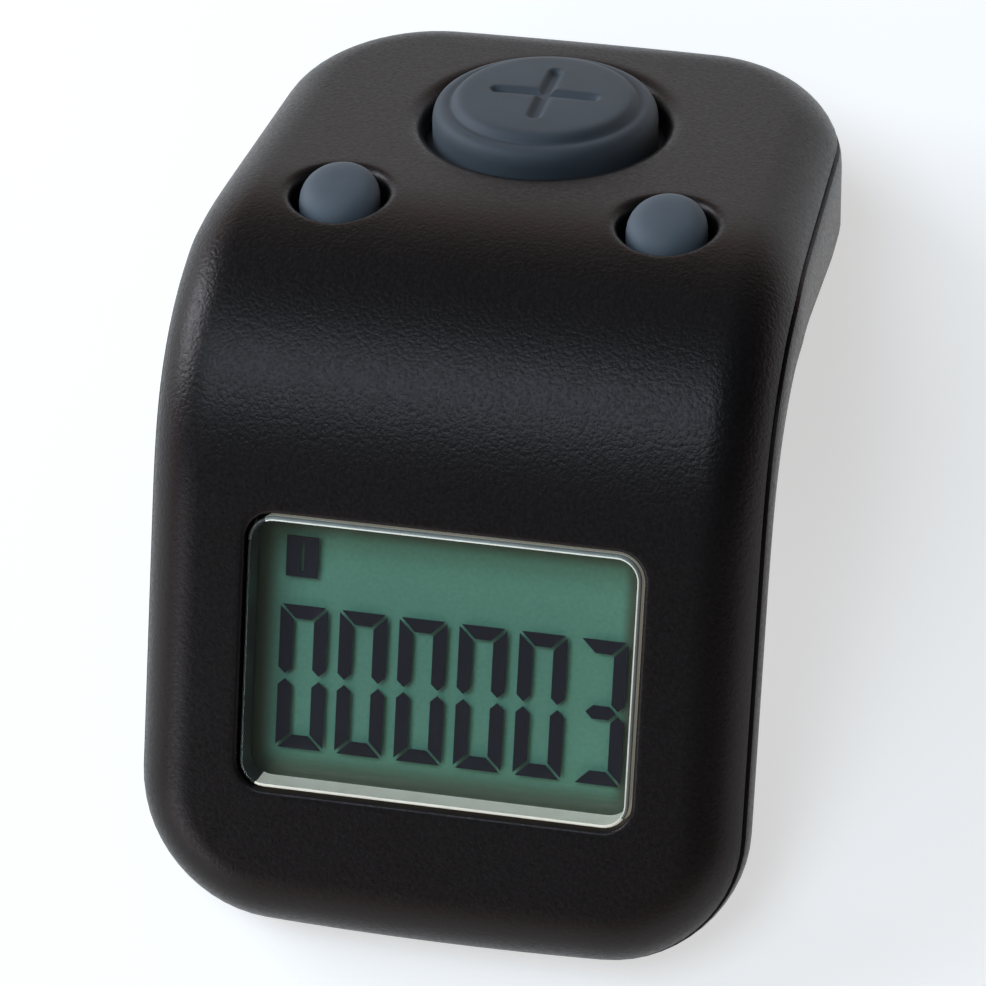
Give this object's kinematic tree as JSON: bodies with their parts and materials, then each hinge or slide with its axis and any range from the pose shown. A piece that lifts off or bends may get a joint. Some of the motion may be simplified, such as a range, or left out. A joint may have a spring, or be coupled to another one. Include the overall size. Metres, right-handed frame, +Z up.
{
  "type": "hand tally counter",
  "caption": "Finger-worn electronic tally counter: a bent arch case with a display window on its front leg, one large count key and two small keys on its sloping top.",
  "frame": {"origin": "middle of the footprint at the level of the surface it stands on", "axes": "+X to the counter's right as its display is read, +Y from the display leg towards the rear half, +Z up"},
  "size_m": [0.031, 0.0488, 0.0207],
  "materials": {
    "case_plastic": "fine spark texture, satin",
    "key_silicone": "matte silicone",
    "lens_plastic": "clear, polished",
    "lcd_glass": "clear",
    "reflector_film": "grey-green diffuse film",
    "board_laminate": "green solder mask",
    "contact_carbon": "matte carbon",
    "chip_epoxy": "glossy black",
    "chip_ceramic": "matte",
    "zebra_rubber": "matte",
    "flex_film": "amber film",
    "cell_steel": "satin",
    "contact_metal": "plated spring strip",
    "screw_steel": "dark plated"
  },
  "bodies": {
    "case": {"battery_cell": "cell_steel", "battery_contact_negative": "contact_metal", "battery_contact_positive": "contact_metal", "channel_button_web": "key_silicone", "controller_chip": "chip_epoxy", "count_button_web": "key_silicone", "decoupling_capacitor": "chip_ceramic", "display_board": "board_laminate", "display_lens": "lens_plastic", "flex_cable": "flex_film", "key_board": "board_laminate", "keypad_mat": "key_silicone", "lcd_front_glass": "lcd_glass", "lcd_front_polariser": "lcd_glass", "lcd_rear_glass": "lcd_glass", "lcd_reflector": "reflector_film", "leg_screw_left": "screw_steel", "leg_screw_right": "screw_steel", "lower_shell": "case_plastic", "oscillator_resistor": "chip_ceramic", "rear_screw_left": "screw_steel", "rear_screw_right": "screw_steel", "reset_button_web": "key_silicone", "upper_shell": "case_plastic", "zebra_strip": "zebra_rubber"},
    "count_key": {"count_button": "key_silicone", "count_contact_pill": "contact_carbon"},
    "reset_key": {"reset_button": "key_silicone", "reset_contact_pill": "contact_carbon"},
    "channel_key": {"channel_button": "key_silicone", "channel_contact_pill": "contact_carbon"},
    "battery_door": {"battery_cover": "case_plastic"}
  },
  "joints": [
    {"name": "count_press", "type": "slide", "parent": "case", "child": "count_key", "axis": [0, -0.5874, -0.8093], "range_m": [0, 0.001], "stiffness_N_per_m": 450, "deforming": ["count_button_web"]},
    {"name": "reset_press", "type": "slide", "parent": "case", "child": "reset_key", "axis": [0, -0.5874, -0.8093], "range_m": [0, 0.0008], "stiffness_N_per_m": 350, "deforming": ["reset_button_web"]},
    {"name": "channel_press", "type": "slide", "parent": "case", "child": "channel_key", "axis": [0, -0.5874, -0.8093], "range_m": [0, 0.0008], "stiffness_N_per_m": 350, "deforming": ["channel_button_web"]},
    {"name": "battery_cover_twist", "type": "hinge", "parent": "case", "child": "battery_door", "pos_m": [0, 0.00963, 0.00546], "axis": [0, 0.5874, 0.8093], "range_deg": [0, 40]}
  ]
}
